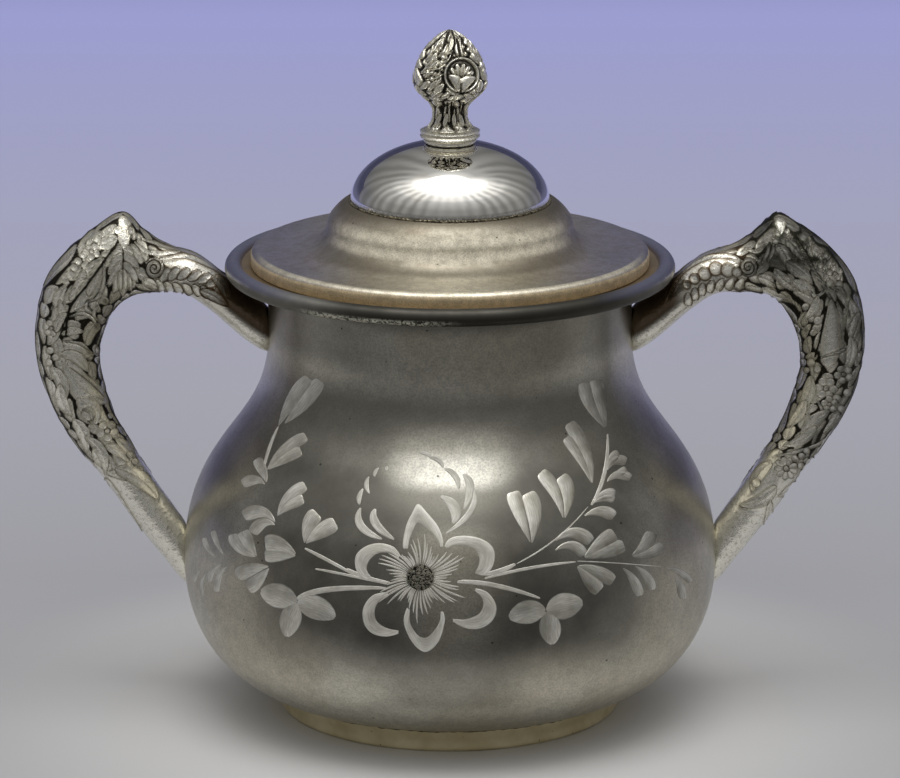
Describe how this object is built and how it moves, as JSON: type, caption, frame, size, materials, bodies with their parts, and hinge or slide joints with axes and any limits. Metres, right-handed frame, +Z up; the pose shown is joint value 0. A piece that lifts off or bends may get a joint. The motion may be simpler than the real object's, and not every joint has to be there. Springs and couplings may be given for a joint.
{
  "type": "covered sugar bowl",
  "caption": "Covered sugar bowl with a round belly, low foot ring, straight neck with beaded rim, leafy scroll handles and a lift-off domed lid with a bud finial.",
  "frame": {"origin": "middle of the foot ring, on the table", "axes": "+Z up, handles along X, front and back of the bowl along Y"},
  "size_m": [0.1888, 0.1234, 0.1592],
  "materials": {
    "satin_plate": "satin silver plate, warm grey with tarnish, over white metal",
    "lid_plate": "satin silver plate with a warm, gold-toned tarnish",
    "bright_plate": "mirror-polished silver plate",
    "cast_plate": "bright silver plate on castings, dark in the recesses",
    "worn_brass": "worn to a brassy base colour",
    "fastener_brass": "dull brass"
  },
  "bodies": {
    "bowl": {"body_shell": "satin_plate", "foot_ring": "worn_brass", "rim_mount": "satin_plate", "handle_left": "cast_plate", "handle_right": "cast_plate"},
    "lid": {"lid_cover": "lid_plate", "lid_dome": "bright_plate", "lid_bezel": "lid_plate", "finial_bud": "cast_plate", "finial_stud": "fastener_brass", "finial_washer": "fastener_brass", "finial_nut": "fastener_brass"}
  },
  "joints": [
    {"name": "lid_lift", "type": "slide", "parent": "bowl", "child": "lid", "axis": [0, 0, 1], "range_m": [0, 0.08]}
  ]
}
